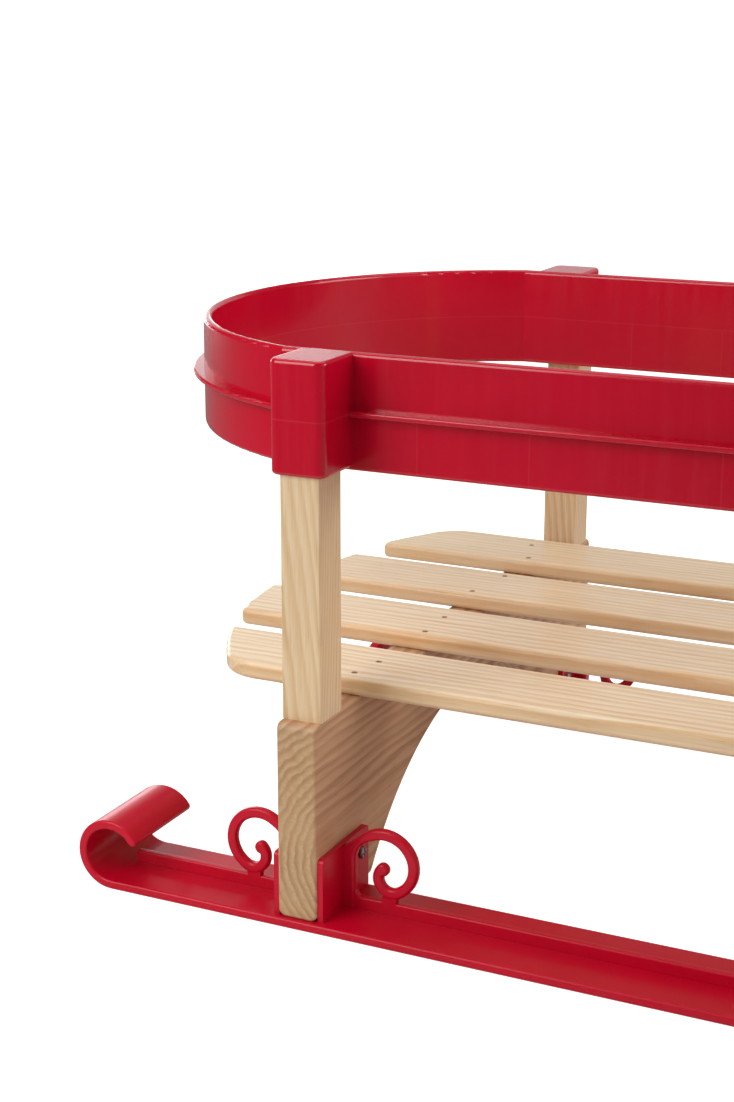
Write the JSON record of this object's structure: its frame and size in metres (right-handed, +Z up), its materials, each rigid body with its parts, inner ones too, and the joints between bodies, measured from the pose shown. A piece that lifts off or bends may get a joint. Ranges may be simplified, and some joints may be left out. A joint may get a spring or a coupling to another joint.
{
  "type": "toddler toboggan with guard ring",
  "caption": "Slatted wooden toboggan on arched wooden trestles, with an oval moulded guard ring on upright posts and flat moulded runners with curled fronts and scroll brackets.",
  "frame": {"origin": "on the ground, under the middle of the toboggan", "axes": "+X towards the rear along the runners, +Y to the rider's right, +Z up; the curled front faces -X"},
  "size_m": [0.7356, 0.42, 0.3],
  "materials": {
    "red_plastic": "glossy injection-moulded plastic",
    "slat_wood": "varnished pale softwood, fine grain along the slat",
    "post_wood": "planed pale hardwood, grain upright",
    "trestle_wood": "planed ash board, coarse grain across the sled",
    "dowel_wood": "turned beech dowel",
    "zinc_steel": "zinc-plated steel"
  },
  "bodies": {
    "root": {"trestle_front": "trestle_wood", "slat_nails_front": "zinc_steel", "post_front_left": "post_wood", "post_dowel_front_left": "dowel_wood", "foot_screws_front_left": "zinc_steel", "post_front_right": "post_wood", "post_dowel_front_right": "dowel_wood", "foot_screws_front_right": "zinc_steel", "trestle_rear": "trestle_wood", "slat_nails_rear": "zinc_steel", "post_rear_left": "post_wood", "post_dowel_rear_left": "dowel_wood", "foot_screws_rear_left": "zinc_steel", "post_rear_right": "post_wood", "post_dowel_rear_right": "dowel_wood", "foot_screws_rear_right": "zinc_steel", "slat_outer_left": "slat_wood", "slat_inner_left": "slat_wood", "slat_inner_right": "slat_wood", "slat_outer_right": "slat_wood", "guard_ring": "red_plastic", "runner_left": "red_plastic", "runner_right": "red_plastic"}
  },
  "joints": []
}
